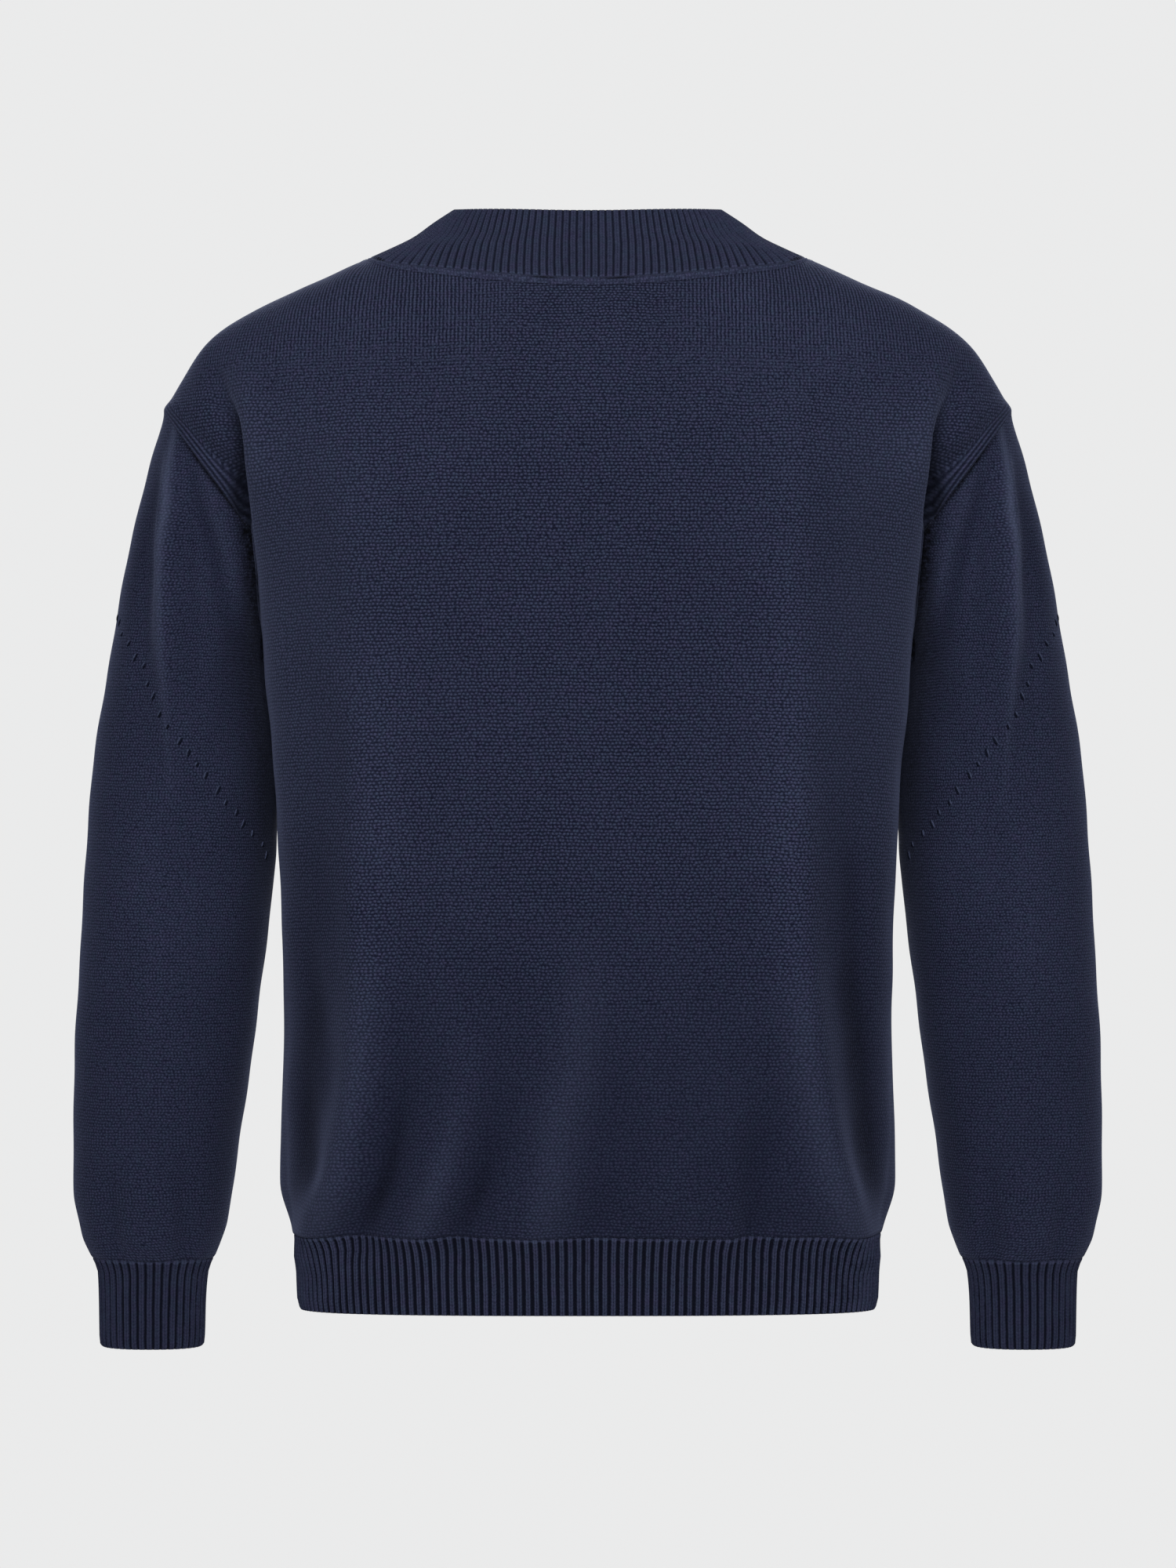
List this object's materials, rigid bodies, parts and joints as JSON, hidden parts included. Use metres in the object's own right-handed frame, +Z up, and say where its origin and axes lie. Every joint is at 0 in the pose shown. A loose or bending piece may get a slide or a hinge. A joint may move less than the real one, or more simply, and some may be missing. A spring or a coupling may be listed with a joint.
{
  "type": "knit cardigan",
  "caption": "Long-sleeved V-neck cardigan in plain knit with ribbed neck band, front bands, cuffs and hem, buttoned down the front and filled out as when worn.",
  "frame": {"origin": "middle of the neck opening, level with the two points where the shoulder seams meet the neck band", "axes": "+Z up the wearer's body, +Y out of the buttoned front, +X towards the wearer's right sleeve; the back faces -Y"},
  "size_m": [0.6694, 0.2463, 0.7371],
  "materials": {
    "knit": "matt navy cotton knit, fine stocking stitch",
    "rib": "matt navy cotton knit, one by one rib",
    "button": "dark navy, softly polished"
  },
  "bodies": {
    "root": {"back": "knit", "front_left": "knit", "front_right": "knit", "sleeve_left": "knit", "sleeve_right": "knit", "hem_rib_back": "rib", "hem_rib_front_left": "rib", "hem_rib_front_right": "rib", "cuff_left": "rib", "cuff_right": "rib", "neck_band": "rib", "button_band": "rib", "buttonhole_band": "rib", "button_1": "button", "button_2": "button", "button_3": "button", "button_4": "button", "button_5": "button"}
  },
  "joints": []
}
